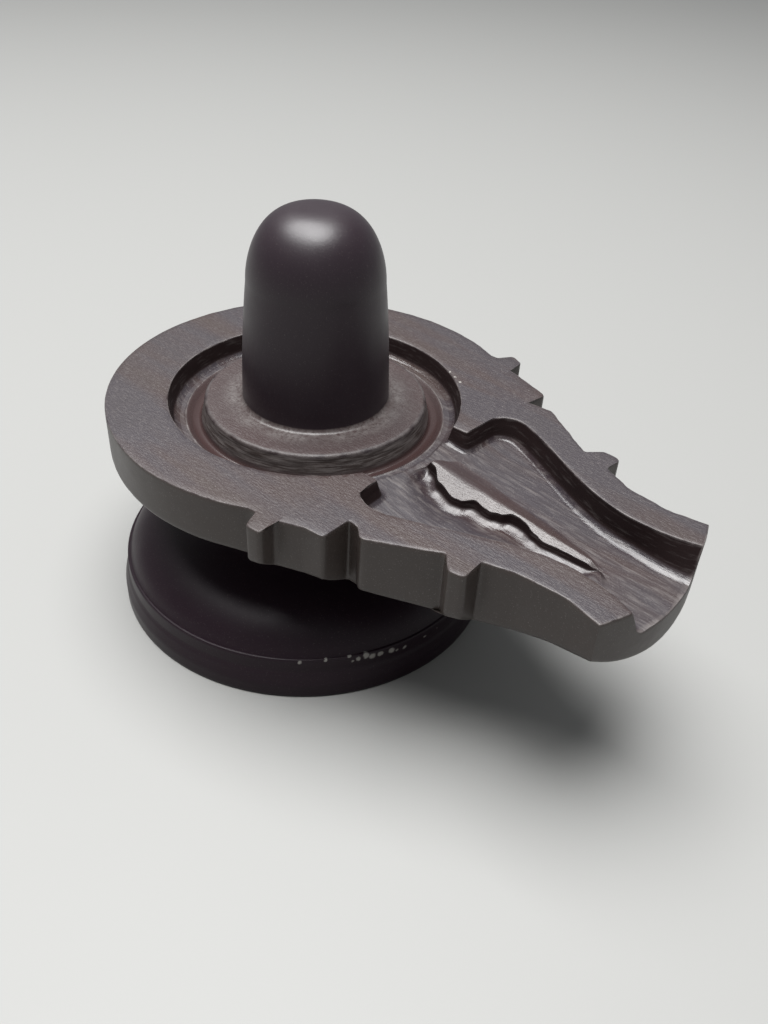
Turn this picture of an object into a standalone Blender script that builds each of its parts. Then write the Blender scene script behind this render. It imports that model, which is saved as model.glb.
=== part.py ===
"""Shiva lingam on a spouted plate and a turned foot, carved from one block of dark stone.

The frame is in metres with +Z up. The origin is on the foot's underside, straight below the
centre of the plate's round edge, and the spout points along +X. The near side is the one at
-Y, the far side the one at +Y. The stone is carved by hand, so the outline's two sides differ by
a few millimetres, and the lingam and the foot stand a little off the plate's centre.
"""

import math

import bmesh
import bpy
from mathutils import Vector

NAME = "shiva_lingam"

# Plate and its outline
PLATE_RADIUS = 0.0500
PLATE_TOP = 0.0551
SPOUT_REACH = 0.0995
SPOUT_END_HALF = 0.0210
SPOUT_END_BULGE = 0.0045
END_CORNER_ROUND = 0.0002

# Corners of the carved outline from the disc to the spout's end: along as a share of the spout's
# reach, out from the middle as a share of the plate's radius, and the rounding in metres
NEAR_TEETH = (
    (0.2714, 0.862, 0.0005), (0.2894, 0.948, 0.0014), (0.3286, 0.940, 0.0010),
    (0.3186, 0.844, 0.0010), (0.3769, 0.794, 0.0040), (0.4261, 0.780, 0.0009),
    (0.4241, 0.628, 0.0006), (0.4513, 0.634, 0.0006), (0.4804, 0.686, 0.0020),
    (0.6291, 0.508, 0.0009), (0.6653, 0.582, 0.0014), (0.7005, 0.564, 0.0012),
    (0.6945, 0.448, 0.0010),
)
FAR_TEETH = (
    (0.2111, 0.928, 0.0008), (0.2352, 1.000, 0.0010), (0.2734, 0.972, 0.0010),
    (0.2633, 0.876, 0.0006), (0.3417, 0.832, 0.0040), (0.4141, 0.788, 0.0014),
    (0.3980, 0.666, 0.0006), (0.4271, 0.680, 0.0005), (0.4653, 0.690, 0.0014),
    (0.6221, 0.504, 0.0010), (0.6543, 0.574, 0.0016), (0.6995, 0.568, 0.0014),
    (0.6935, 0.468, 0.0010),
)
SPOUT_FLANK = ((0.7688, 0.402, 0.0080), (0.8744, 0.386, 0.0150))
CORNER_TRIM = 0.45
END_LOOKAHEAD = 0.8
CORNER_STEPS = 3
DISC_STEP_DEG = 5.0
END_STEPS = 8

# Underside of the plate: its depth below the top at the edge, and how fast it deepens inward
DISC_EDGE_DEPTH = 0.0118
DISC_DISH = 0.0150
SPOUT_EDGE_DEPTH = 0.0155
SPOUT_END_DEPTH = 0.0093
SPOUT_EDGE_SLOPE = 0.62
SPOUT_ROOT_POWER = 4.0
SPOUT_END_POWER = 2.0
SPOUT_TAPER_START = 0.603 * SPOUT_REACH
SPOUT_TAPER_POWER = 1.8
SPOUT_LEAST_DEPTH = 0.0040
BELLY_BLEND = (0.1005 * SPOUT_REACH, 0.5226 * SPOUT_REACH)
BELLY_CELL = 0.0050
BELLY_MARGIN = 0.0060

# Nominal half width of the spout at its root and at its end, between the teeth
SPOUT_ROOT_X = 0.3015 * SPOUT_REACH
SPOUT_ROOT_HALF = 0.81 * PLATE_RADIUS
SPOUT_WAIST_X = 0.8442 * SPOUT_REACH
SPOUT_WAIST_HALF = 0.392 * PLATE_RADIUS
SPOUT_HOLLOW_POWER = 1.35

# Lingam, with the axis that it shares with the pool
LINGAM_AXIS = (0.0010, -0.0007)
LINGAM_FOOT_RADIUS = 0.0177
LINGAM_SHOULDER_RADIUS = 0.0159
LINGAM_SHOULDER_HEIGHT = 0.0290
LINGAM_HEIGHT = 0.0456
LINGAM_TAPER_POWER = 1.6
DOME_PLAN_POWER = 3.0
DOME_RISE_POWER = 1.8
FILLET_RADIUS = 0.0012
LINGAM_ROOT = 0.0100
DOME_STEPS = 9
SHAFT_STEPS = 5
FILLET_STEPS = 3

# Ring-shaped pool round the lingam's disc
POOL_RIM_WIDTH = 0.0145
POOL_RADIUS = PLATE_RADIUS - POOL_RIM_WIDTH
POOL_WIDTH = 0.0086
INNER_DISC_RADIUS = POOL_RADIUS - POOL_WIDTH
INNER_DISC_DROP = 0.0008
POOL_LIP_DEPTH = 0.0041
POOL_SHELF_DEPTH = 0.0052
POOL_GROOVE_DEPTH = 0.0066
POOL_WALL_DRAFT = 0.0010
POOL_FILLET = 0.0015
GROOVE_WIDTH = 0.0038
GROOVE_FLAT = 0.0006

# Channel along the spout
CHANNEL_INTO_POOL = 0.0045
CHANNEL_START_X = POOL_RADIUS - CHANNEL_INTO_POOL
CUSP_THICKNESS = 0.0002
CHANNEL_WAIST_X = 0.8342 * SPOUT_REACH
CHANNEL_WAIST_HALF = 0.0112
CHANNEL_END_HALF = 0.0146
FLANK_POWERS = (1.4, 1.9)
FLARE_POWER = 2.3
BULGE_DRAFT = 0.0012
WAIST_DRAFT = 0.0004
END_DRAFT = 0.0027
CHANNEL_SILL_DEPTH = 0.0040
CHANNEL_BED_DEPTH = 0.0060
CHANNEL_END_DEPTH = 0.0076
CHANNEL_BED_X = 0.5025 * SPOUT_REACH
CHANNEL_FILLET = 0.0010
CHANNEL_STEP = 0.0018

# The pocket where the channel widens, on each side: where it starts and where it is widest, then
# the channel's half width at its mouth, just before the pocket, just inside it and at its widest
NEAR_POCKET = (0.3678 * SPOUT_REACH, 0.4322 * SPOUT_REACH, 0.0174, 0.0170, 0.0215, 0.0252)
FAR_POCKET = (0.3839 * SPOUT_REACH, 0.4452 * SPOUT_REACH, 0.0114, 0.0118, 0.0192, 0.0250)

# Ridge on the channel's bed: share of the spout's reach and half width on each side. Its near edge
# is wavy and stands above the bed, its far side falls smoothly to the bed
NEAR_RIDGE = (
    (0.3668, 0.0), (0.4362, 0.0037), (0.4860, 0.0050), (0.5307, 0.0027), (0.5700, 0.0032),
    (0.6250, 0.0007), (0.7080, 0.0024), (0.7739, 0.0015), (0.8392, 0.0),
)
FAR_RIDGE = (
    (0.3668, 0.0), (0.4070, 0.0072), (0.4724, 0.0070), (0.5800, 0.0053), (0.6560, 0.0040),
    (0.7739, 0.0019), (0.8392, 0.0),
)
NEAR_RIDGE_SLOPE = 0.29
FAR_RIDGE_SLOPE = 0.46
RIDGE_CREST_DEPTH = 0.0021
RIDGE_TIP_DEPTH = 0.0059
RIDGE_START_RISE = 0.0035
RIDGE_TIP_FALL = 0.0030

# Waist and foot, as heights and radii round their own axis
FOOT_AXIS = (-0.0003, -0.0026)
FOOT_INSET = 0.0013
FOOT_RADIUS = PLATE_RADIUS - FOOT_INSET
FOOT_TOE = 0.0003
RIM_HEIGHT = 0.0072
RIM_CHAMFER = 0.0011
RIM_TOP_RADIUS = FOOT_RADIUS - RIM_CHAMFER
STEP_HEIGHT = 0.0118
RIM_LEAN = 0.0002
STEP_RADIUS = RIM_TOP_RADIUS - RIM_LEAN
STEP_WIDTH = 0.0006
BELL_INSET = 0.0010
BELL_RADIUS = STEP_RADIUS - BELL_INSET
WAIST_RADIUS = 0.0238
WAIST_FLARE = 0.0012
BELL_TOP_RADIUS = WAIST_RADIUS + WAIST_FLARE
BELL_TOP_HEIGHT = 0.0345
WAIST_HEIGHT = 0.0300
WAIST_FALL = 0.0090
BELL_SHOULDER_IN = 0.0040
BELL_SHOULDER_RISE = 0.0110
BELL_STEPS = 12

ROUND_STEPS = 72
LINGAM_STEPS = 48
CLEAR_OVER = 0.0040
MERGE = 0.00001

STONE_COLOUR = (0.055, 0.040, 0.042, 1.0)


def clamp(value, low=0.0, high=1.0):
    """Value held between low and high."""
    return max(low, min(high, value))


def ease(value):
    """Smooth step from 0 to 1."""
    value = clamp(value)
    return value * value * (3.0 - 2.0 * value)


def rounded(corners, steps):
    """Open polyline through the corners, each rounded by an arc of its own radius."""
    points = [Vector(corners[0][:2])]
    for before, corner, after in zip(corners, corners[1:], corners[2:]):
        centre = Vector(corner[:2])
        back = Vector(before[:2]) - centre
        ahead = Vector(after[:2]) - centre
        half = 0.5 * back.angle(ahead)
        reach = min(corner[2] / math.tan(half), CORNER_TRIM * back.length, CORNER_TRIM * ahead.length)
        start = centre + back.normalized() * reach
        end = centre + ahead.normalized() * reach
        for step in range(steps + 1):
            share = step / steps
            first = start.lerp(centre, share)
            second = centre.lerp(end, share)
            points.append(first.lerp(second, share))
    points.append(Vector(corners[-1][:2]))
    return points


def end_face_point(share):
    """Point on the spout's bowed end face at a share of its half width."""
    return SPOUT_REACH - SPOUT_END_BULGE * share ** 2, SPOUT_END_HALF * share


def half_outline(teeth):
    """Half outline with +Y as its side, from the disc's back to the middle of the spout's end."""
    carving = [(x * SPOUT_REACH, y * PLATE_RADIUS, round_off) for x, y, round_off in (*teeth, *SPOUT_FLANK)]
    first_angle = math.atan2(carving[0][1], carving[0][0])
    count = round((math.pi - first_angle) / math.radians(DISC_STEP_DEG))
    disc = []
    for step in range(count):
        angle = math.pi + (first_angle - math.pi) * step / count
        disc.append(Vector((PLATE_RADIUS * math.cos(angle), PLATE_RADIUS * math.sin(angle))))
    last_disc = (disc[-1].x, disc[-1].y, 0.0)
    end_corner = (SPOUT_REACH - SPOUT_END_BULGE, SPOUT_END_HALF, END_CORNER_ROUND)
    beyond = (*end_face_point(END_LOOKAHEAD), 0.0)
    carved = rounded([last_disc, *carving, end_corner, beyond], CORNER_STEPS)
    end_face = [Vector(end_face_point(1.0 - step / END_STEPS)) for step in range(1, END_STEPS + 1)]
    return disc + carved[1:-1] + end_face


def plate_outline():
    """Closed outline of the plate, both sides."""
    far = half_outline(FAR_TEETH)
    near = half_outline(NEAR_TEETH)
    mirrored = [Vector((point.x, -point.y)) for point in reversed(near[1:-1])]
    return far + mirrored


def spout_half_width(x):
    """Nominal half width of the spout between its teeth."""
    share = clamp((x - SPOUT_ROOT_X) / (SPOUT_WAIST_X - SPOUT_ROOT_X))
    return SPOUT_WAIST_HALF + (SPOUT_ROOT_HALF - SPOUT_WAIST_HALF) * (1.0 - share) ** SPOUT_HOLLOW_POWER


def belly_depth(x, y):
    """Depth of the plate's underside below its top."""
    disc = DISC_EDGE_DEPTH + DISC_DISH * (1.0 - (x * x + y * y) / PLATE_RADIUS ** 2)
    half = spout_half_width(x)
    taper = clamp((x - SPOUT_TAPER_START) / (SPOUT_REACH - SPOUT_TAPER_START))
    edge = SPOUT_EDGE_DEPTH + (SPOUT_END_DEPTH - SPOUT_EDGE_DEPTH) * taper ** SPOUT_TAPER_POWER
    along = clamp((x - SPOUT_ROOT_X) / (SPOUT_REACH - SPOUT_ROOT_X))
    power = SPOUT_ROOT_POWER + (SPOUT_END_POWER - SPOUT_ROOT_POWER) * along
    spout = edge + SPOUT_EDGE_SLOPE * half / power * (1.0 - (abs(y) / half) ** power)
    share = ease((x - BELLY_BLEND[0]) / (BELLY_BLEND[1] - BELLY_BLEND[0]))
    return disc + (max(spout, SPOUT_LEAST_DEPTH) - disc) * share


def channel_half_width(x, pocket):
    """Half width of the channel at the plate's top, on the side that has the pocket."""
    start_x, widest_x, mouth, before, inside, widest = pocket
    if x < start_x:
        share = clamp((x - CHANNEL_START_X) / (start_x - CHANNEL_START_X))
        return mouth + (before - mouth) * share
    if x < widest_x:
        share = (widest_x - x) / (widest_x - start_x)
        return inside + (widest - inside) * math.sqrt(1.0 - share ** 2)
    if x < CHANNEL_WAIST_X:
        share = (x - widest_x) / (CHANNEL_WAIST_X - widest_x)
        hollow = (1.0 - share ** FLANK_POWERS[0]) ** FLANK_POWERS[1]
        return CHANNEL_WAIST_HALF + (widest - CHANNEL_WAIST_HALF) * hollow
    share = (x - CHANNEL_WAIST_X) / (SPOUT_REACH - CHANNEL_WAIST_X)
    return CHANNEL_WAIST_HALF + (CHANNEL_END_HALF - CHANNEL_WAIST_HALF) * share ** FLARE_POWER


def channel_depth(x):
    """Depth of the channel's bed below the plate's top."""
    first = ease((x - CHANNEL_START_X) / (CHANNEL_BED_X - CHANNEL_START_X))
    second = clamp((x - CHANNEL_BED_X) / (SPOUT_REACH - CHANNEL_BED_X))
    bed = CHANNEL_SILL_DEPTH + (CHANNEL_BED_DEPTH - CHANNEL_SILL_DEPTH) * first
    return bed + (CHANNEL_END_DEPTH - CHANNEL_BED_DEPTH) * second


def channel_draft(x, pocket):
    """How far the channel's wall leans in from its top to its foot, on the pocket's side."""
    if x < CHANNEL_WAIST_X:
        share = ease((x - pocket[1]) / (CHANNEL_WAIST_X - pocket[1]))
        return BULGE_DRAFT + (WAIST_DRAFT - BULGE_DRAFT) * share
    share = ease((x - CHANNEL_WAIST_X) / (SPOUT_REACH - CHANNEL_WAIST_X))
    return WAIST_DRAFT + (END_DRAFT - WAIST_DRAFT) * share


def ridge_half_width(x, edge):
    """Half width of the ridge to one of its edges, eased between the edge's swells and waists."""
    place = x / SPOUT_REACH
    for (start, first), (end, second) in zip(edge, edge[1:]):
        if start <= place <= end:
            return first + (second - first) * ease((place - start) / (end - start))
    return 0.0


def channel_section(x):
    """Closed cross-section of the channel's cutter at x as (y, z), with the ridge left standing."""
    bed = PLATE_TOP - channel_depth(x)
    start, tip = NEAR_RIDGE[0][0] * SPOUT_REACH, NEAR_RIDGE[-1][0] * SPOUT_REACH
    along = clamp((x - start) / (tip - start))
    crest = PLATE_TOP - RIDGE_CREST_DEPTH - (RIDGE_TIP_DEPTH - RIDGE_CREST_DEPTH) * along
    rise = ease((x - start) / RIDGE_START_RISE) * ease((tip - x) / RIDGE_TIP_FALL)
    crest = bed + (crest - bed) * rise
    halves = []
    sides = ((FAR_POCKET, FAR_RIDGE, FAR_RIDGE_SLOPE), (NEAR_POCKET, NEAR_RIDGE, NEAR_RIDGE_SLOPE))
    for pocket, edge, slope in sides:
        top = channel_half_width(x, pocket)
        foot = top - channel_draft(x, pocket)
        ridge = max(ridge_half_width(x, edge), 0.5 * CHANNEL_FILLET)
        shoulder = max(crest - slope * ridge, bed)
        halves.append([
            (top, PLATE_TOP + CLEAR_OVER),
            (top, PLATE_TOP),
            (foot, bed + CHANNEL_FILLET),
            (foot - CHANNEL_FILLET, bed),
            (ridge + CHANNEL_FILLET, bed),
            (ridge, shoulder),
        ])
    near = [(-y, z) for y, z in reversed(halves[1])]
    return halves[0] + [(0.0, crest)] + near


def loft(name, sections):
    """Closed mesh through sections of equal point counts, each a list of (x, y, z)."""
    mesh = bmesh.new()
    rings = [[mesh.verts.new(point) for point in section] for section in sections]
    for ring, following in zip(rings, rings[1:]):
        for index in range(len(ring)):
            ahead = (index + 1) % len(ring)
            mesh.faces.new((ring[index], ring[ahead], following[ahead], following[index]))
    mesh.faces.new(rings[0])
    mesh.faces.new(list(reversed(rings[-1])))
    bmesh.ops.recalc_face_normals(mesh, faces=mesh.faces)
    return from_bmesh(name, mesh)


def from_bmesh(name, mesh):
    """New object from a bmesh."""
    data = bpy.data.meshes.new(name)
    mesh.to_mesh(data)
    mesh.free()
    return bpy.data.objects.new(name, data)


def turned(name, profile, axis, steps):
    """Solid turned round an upright axis from (radius, height) points down its outer side."""
    data = bpy.data.meshes.new(name)
    points = [(radius, 0.0, height) for radius, height in profile]
    edges = [(index, index + 1) for index in range(len(points) - 1)]
    data.from_pydata(points, edges, [])
    thing = bpy.data.objects.new(name, data)
    thing.location = (axis[0], axis[1], 0.0)
    screw = thing.modifiers.new("Turn", "SCREW")
    screw.steps = steps
    screw.render_steps = steps
    screw.use_merge_vertices = True
    screw.merge_threshold = MERGE
    screw.use_smooth_shade = True
    return thing


def prism(name, outline, low, high):
    """Upright prism of a flat outline between two heights, from a filled and extruded curve."""
    curve = bpy.data.curves.new(name, "CURVE")
    curve.dimensions = "2D"
    curve.fill_mode = "BOTH"
    curve.extrude = 0.5 * (high - low)
    spline = curve.splines.new("POLY")
    spline.points.add(len(outline) - 1)
    for point, place in zip(spline.points, outline):
        point.co = (place.x, place.y, 0.0, 1.0)
    spline.use_cyclic_u = True
    guide = bpy.data.objects.new(name + "_curve", curve)
    guide.location.z = 0.5 * (high + low)
    bpy.context.scene.collection.objects.link(guide)
    bpy.context.view_layer.update()
    graph = bpy.context.evaluated_depsgraph_get()
    data = bpy.data.meshes.new_from_object(guide.evaluated_get(graph))
    mesh = bmesh.new()
    mesh.from_mesh(data)
    mesh.transform(guide.matrix_world)
    bmesh.ops.remove_doubles(mesh, verts=mesh.verts, dist=MERGE)
    bmesh.ops.recalc_face_normals(mesh, faces=mesh.faces)
    bpy.data.objects.remove(guide)
    bpy.data.curves.remove(curve)
    bpy.data.meshes.remove(data)
    return from_bmesh(name, mesh)


def belly_block():
    """Block whose lower face is the underside of the plate, to be shared with its outline."""
    low_x = -PLATE_RADIUS - BELLY_MARGIN
    high_x = SPOUT_REACH + BELLY_MARGIN
    half_y = PLATE_RADIUS + BELLY_MARGIN
    rows = round((high_x - low_x) / BELLY_CELL)
    columns = round(2.0 * half_y / BELLY_CELL)
    top = PLATE_TOP + CLEAR_OVER
    mesh = bmesh.new()
    bmesh.ops.create_grid(mesh, x_segments=rows, y_segments=columns, size=0.5)
    floor = list(mesh.faces)
    for vertex in mesh.verts:
        vertex.co.x = low_x + (vertex.co.x + 0.5) * (high_x - low_x)
        vertex.co.y = 2.0 * half_y * vertex.co.y
        vertex.co.z = PLATE_TOP - belly_depth(vertex.co.x, vertex.co.y)
    raised = bmesh.ops.extrude_face_region(mesh, geom=floor)
    lid = [item for item in raised["geom"] if isinstance(item, bmesh.types.BMVert)]
    for vertex in lid:
        vertex.co.z = top
    bmesh.ops.recalc_face_normals(mesh, faces=mesh.faces)
    return from_bmesh("belly", mesh)


def lingam_profile():
    """The lingam from its top down, through its shoulder and fillet, to a root in the plate."""
    base = PLATE_TOP - INNER_DISC_DROP
    points = []
    for step in range(DOME_STEPS + 1):
        angle = 0.5 * math.pi * (1.0 - step / DOME_STEPS)
        radius = LINGAM_SHOULDER_RADIUS * math.cos(angle) ** (2.0 / DOME_PLAN_POWER)
        rise = (LINGAM_HEIGHT - LINGAM_SHOULDER_HEIGHT) * math.sin(angle) ** (2.0 / DOME_RISE_POWER)
        points.append((0.0 if step == 0 else radius, PLATE_TOP + LINGAM_SHOULDER_HEIGHT + rise))
    shaft_low = base + FILLET_RADIUS
    shaft_high = PLATE_TOP + LINGAM_SHOULDER_HEIGHT
    for step in range(1, SHAFT_STEPS + 1):
        share = 1.0 - step / SHAFT_STEPS
        height = shaft_low + (shaft_high - shaft_low) * share
        slim = (LINGAM_FOOT_RADIUS - LINGAM_SHOULDER_RADIUS) * share ** LINGAM_TAPER_POWER
        points.append((LINGAM_FOOT_RADIUS - slim, height))
    for step in range(1, FILLET_STEPS + 1):
        angle = 0.5 * math.pi * step / FILLET_STEPS
        radius = LINGAM_FOOT_RADIUS + FILLET_RADIUS * (1.0 - math.cos(angle))
        points.append((radius, base + FILLET_RADIUS * (1.0 - math.sin(angle))))
    foot_radius = LINGAM_FOOT_RADIUS + FILLET_RADIUS
    points.append((foot_radius, base - LINGAM_ROOT))
    points.append((0.0, base - LINGAM_ROOT))
    return points


def pool_profile():
    """The pool's cutter: an outer wall, a shelf, a groove and the wall of the inner disc."""
    wall = INNER_DISC_RADIUS + POOL_WALL_DRAFT
    top = PLATE_TOP + CLEAR_OVER
    return [
        (0.0, top),
        (POOL_RADIUS, top),
        (POOL_RADIUS, PLATE_TOP),
        (POOL_RADIUS - 0.5 * POOL_WALL_DRAFT, PLATE_TOP - 0.5 * POOL_LIP_DEPTH),
        (POOL_RADIUS - POOL_WALL_DRAFT, PLATE_TOP - POOL_LIP_DEPTH),
        (POOL_RADIUS - POOL_WALL_DRAFT - POOL_FILLET, PLATE_TOP - POOL_SHELF_DEPTH),
        (wall + GROOVE_WIDTH, PLATE_TOP - POOL_SHELF_DEPTH),
        (wall + GROOVE_FLAT, PLATE_TOP - POOL_GROOVE_DEPTH),
        (wall, PLATE_TOP - POOL_GROOVE_DEPTH),
        (INNER_DISC_RADIUS, PLATE_TOP - INNER_DISC_DROP),
        (0.0, PLATE_TOP - INNER_DISC_DROP),
    ]


def bezier(points, share):
    """Point on the cubic curve of four (radius, height) points."""
    weights = (
        (1.0 - share) ** 3, 3.0 * share * (1.0 - share) ** 2,
        3.0 * share ** 2 * (1.0 - share), share ** 3,
    )
    radius = sum(weight * point[0] for weight, point in zip(weights, points))
    height = sum(weight * point[1] for weight, point in zip(weights, points))
    return radius, height


def foot_profile():
    """The waist, the bell of the foot, its step and its rim, from the plate down."""
    root = PLATE_TOP - POOL_GROOVE_DEPTH - 0.5 * DISC_EDGE_DEPTH
    waist = (WAIST_RADIUS, WAIST_HEIGHT)
    bell = (
        waist,
        (WAIST_RADIUS, WAIST_HEIGHT - WAIST_FALL),
        (BELL_RADIUS - BELL_SHOULDER_IN, STEP_HEIGHT + BELL_SHOULDER_RISE),
        (BELL_RADIUS, STEP_HEIGHT),
    )
    points = [(0.0, root), (BELL_TOP_RADIUS, root), (BELL_TOP_RADIUS, BELL_TOP_HEIGHT)]
    points += [bezier(bell, step / BELL_STEPS) for step in range(BELL_STEPS + 1)]
    points += [
        (STEP_RADIUS - STEP_WIDTH, STEP_HEIGHT - STEP_WIDTH),
        (STEP_RADIUS, STEP_HEIGHT - STEP_WIDTH),
        (RIM_TOP_RADIUS, RIM_HEIGHT),
        (FOOT_RADIUS, 0.5 * RIM_HEIGHT),
        (FOOT_RADIUS, FOOT_TOE),
        (FOOT_RADIUS - FOOT_TOE, 0.0),
        (0.0, 0.0),
    ]
    return points


def channel_cutter():
    """The channel's cutter as a loft of its cross-sections from the pool past the spout's end."""
    ends = (CHANNEL_START_X, SPOUT_REACH + CLEAR_OVER)
    count = round((ends[1] - ends[0]) / CHANNEL_STEP)
    stations = [ends[0] + (ends[1] - ends[0]) * step / count for step in range(count + 1)]
    for start_x in (NEAR_POCKET[0], FAR_POCKET[0]):
        stations += [start_x - 0.5 * CUSP_THICKNESS, start_x + 0.5 * CUSP_THICKNESS]
    stations.sort()
    sections = [[(x, y, z) for y, z in channel_section(x)] for x in stations]
    return loft("channel", sections)


def stone():
    """Dark fine-grained stone with a satin finish."""
    material = bpy.data.materials.new("stone")
    material.use_nodes = True
    shader = material.node_tree.nodes["Principled BSDF"]
    shader.inputs["Base Color"].default_value = STONE_COLOUR
    shader.inputs["Roughness"].default_value = 0.42
    shader.inputs["Metallic"].default_value = 0.0
    return material


def combine(base, other, operation, label):
    """Boolean of another object on the base, kept as a modifier."""
    boolean = base.modifiers.new(label, "BOOLEAN")
    boolean.operation = operation
    boolean.solver = "EXACT"
    boolean.object = other


def main():
    for thing in list(bpy.data.objects):
        bpy.data.objects.remove(thing)
    parts = bpy.data.collections.new(NAME)
    cutters = bpy.data.collections.new("cutters")
    bpy.context.scene.collection.children.link(parts)
    bpy.context.scene.collection.children.link(cutters)

    low = PLATE_TOP - SPOUT_EDGE_DEPTH - DISC_EDGE_DEPTH - DISC_DISH
    body = prism(NAME, plate_outline(), low, PLATE_TOP)
    parts.objects.link(body)
    body.data.materials.append(stone())

    foot = turned("foot", foot_profile(), FOOT_AXIS, ROUND_STEPS)
    pool = turned("pool", pool_profile(), LINGAM_AXIS, ROUND_STEPS)
    lingam = turned("lingam", lingam_profile(), LINGAM_AXIS, LINGAM_STEPS)
    steps = (
        (belly_block(), "INTERSECT", "Underside"),
        (foot, "UNION", "Foot"),
        (pool, "DIFFERENCE", "Pool"),
        (channel_cutter(), "DIFFERENCE", "Channel"),
        (lingam, "UNION", "Lingam"),
    )
    for other, operation, label in steps:
        cutters.objects.link(other)
        other.hide_render = True
        other.display_type = "WIRE"
        combine(body, other, operation, label)
    body.data.shade_smooth()
    body.data.set_sharp_from_angle(angle=math.radians(30.0))


main()
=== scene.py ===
"""Looks of a carved dark stone shiva lingam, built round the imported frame."""

import math

import bmesh
import bpy
import numpy as np
from mathutils import Matrix, Vector


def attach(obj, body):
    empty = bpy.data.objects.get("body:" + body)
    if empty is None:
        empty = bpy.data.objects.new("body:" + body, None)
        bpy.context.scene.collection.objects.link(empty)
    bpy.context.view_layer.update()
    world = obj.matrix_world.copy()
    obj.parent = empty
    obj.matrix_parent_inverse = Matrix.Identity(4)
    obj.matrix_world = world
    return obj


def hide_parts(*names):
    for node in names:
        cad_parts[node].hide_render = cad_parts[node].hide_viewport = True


bl_info = {
    "name": "Shiva Lingam",
    "version": (1, 0, 0),
    "blender": (4, 5, 0),
    "location": "3D View > Sidebar > Lingam",
    "description": "Carved stone lingam with a spouted plate, and the studio that shows it",
    "category": "Object",
}

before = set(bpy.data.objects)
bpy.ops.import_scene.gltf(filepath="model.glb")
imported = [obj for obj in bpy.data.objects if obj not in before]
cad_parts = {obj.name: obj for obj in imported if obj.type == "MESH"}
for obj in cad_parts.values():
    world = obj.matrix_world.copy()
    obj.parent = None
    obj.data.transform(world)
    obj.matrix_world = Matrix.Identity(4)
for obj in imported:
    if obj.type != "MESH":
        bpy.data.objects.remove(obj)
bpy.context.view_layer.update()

NODE = "shiva_lingam"
WELD = 4e-7

# Plate: outline corners as x, distance from the middle, rounding radius
TOP = 0.0551
PLATE_RADIUS = 0.0500
SPOUT_REACH = 0.0995
END_HALF = 0.0210
END_BULGE = 0.0045
FAR_TEETH = (
    (0.0210, 0.0464, 0.0008), (0.0234, 0.0500, 0.0010), (0.0272, 0.0486, 0.0010),
    (0.0262, 0.0438, 0.0006), (0.0340, 0.0416, 0.0040), (0.0412, 0.0394, 0.0014),
    (0.0396, 0.0333, 0.0006), (0.0425, 0.0340, 0.0005), (0.0463, 0.0345, 0.0014),
    (0.0619, 0.0252, 0.0010), (0.0651, 0.0287, 0.0016), (0.0696, 0.0284, 0.0014),
    (0.0690, 0.0234, 0.0010),
)
NEAR_TEETH = (
    (0.0270, 0.0431, 0.0005), (0.0288, 0.0474, 0.0014), (0.0327, 0.0470, 0.0010),
    (0.0317, 0.0422, 0.0010), (0.0375, 0.0397, 0.0040), (0.0424, 0.0390, 0.0009),
    (0.0422, 0.0314, 0.0006), (0.0449, 0.0317, 0.0006), (0.0478, 0.0343, 0.0020),
    (0.0626, 0.0254, 0.0009), (0.0662, 0.0291, 0.0014), (0.0697, 0.0282, 0.0012),
    (0.0691, 0.0224, 0.0010),
)
SPOUT_FLANK = ((0.0765, 0.0201, 0.0080), (0.0870, 0.0193, 0.0150))
CORNER_REACH = 0.45
CORNER_STEPS = 4

# Underside of the plate
DISC_EDGE_DEPTH = 0.0118
DISC_DISH = 0.0150
SPOUT_EDGE_DEPTH = 0.0155
SPOUT_END_DEPTH = 0.0093
SPOUT_EDGE_SLOPE = 0.62
SPOUT_ROOT_POWER = 4.0
SPOUT_END_POWER = 2.0
SPOUT_TAPER_START = 0.0600
SPOUT_TAPER_POWER = 1.8
BELLY_BLEND = (0.0100, 0.0520)
SPOUT_ROOT_X = 0.0300
SPOUT_ROOT_HALF = 0.0405
SPOUT_WAIST_X = 0.0840
SPOUT_WAIST_HALF = 0.0196
SPOUT_WAIST_POWER = 1.35

# Lingam, inner disc and pool
LINGAM_AXIS = (0.0010, -0.0007)
LINGAM_FOOT_RADIUS = 0.0177
LINGAM_SHOULDER_RADIUS = 0.0159
LINGAM_SHOULDER_HEIGHT = 0.0290
LINGAM_HEIGHT = 0.0456
LINGAM_TAPER_POWER = 1.6
DOME_PLAN_POWER = 3.0
DOME_RISE_POWER = 1.8
FILLET_RADIUS = 0.0012
DISC_RADIUS = 0.0269
DISC_DROP = 0.0008
POOL_RADIUS = 0.0355
POOL_DRAFT = 0.0010
POOL_FILLET = 0.0015
LIP_SHARE = 0.79
SHELF_DEPTH = 0.0052
GROOVE_DEPTH = 0.0066
LIP_WIDTH = 0.0009
LIP_FALL = 0.0006
CREST_RADIUS = 0.0316
CREST_DEPTH = 0.0050
RING_RADIUS = 0.0319
SHELF_EDGE = 0.0330
HALO_WIDTH = 0.0048
DISC_WALL_DRAFT = 0.0007
DISC_WALL_DEPTH = 0.0046
COVE_CORNER = 0.0012
COVE_ROUND = 0.0016
COVE_REACH = 0.0030
COVE_RISE = 0.0003
CREST_INSET = 0.0003
CREST_STEP = 0.0001

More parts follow.
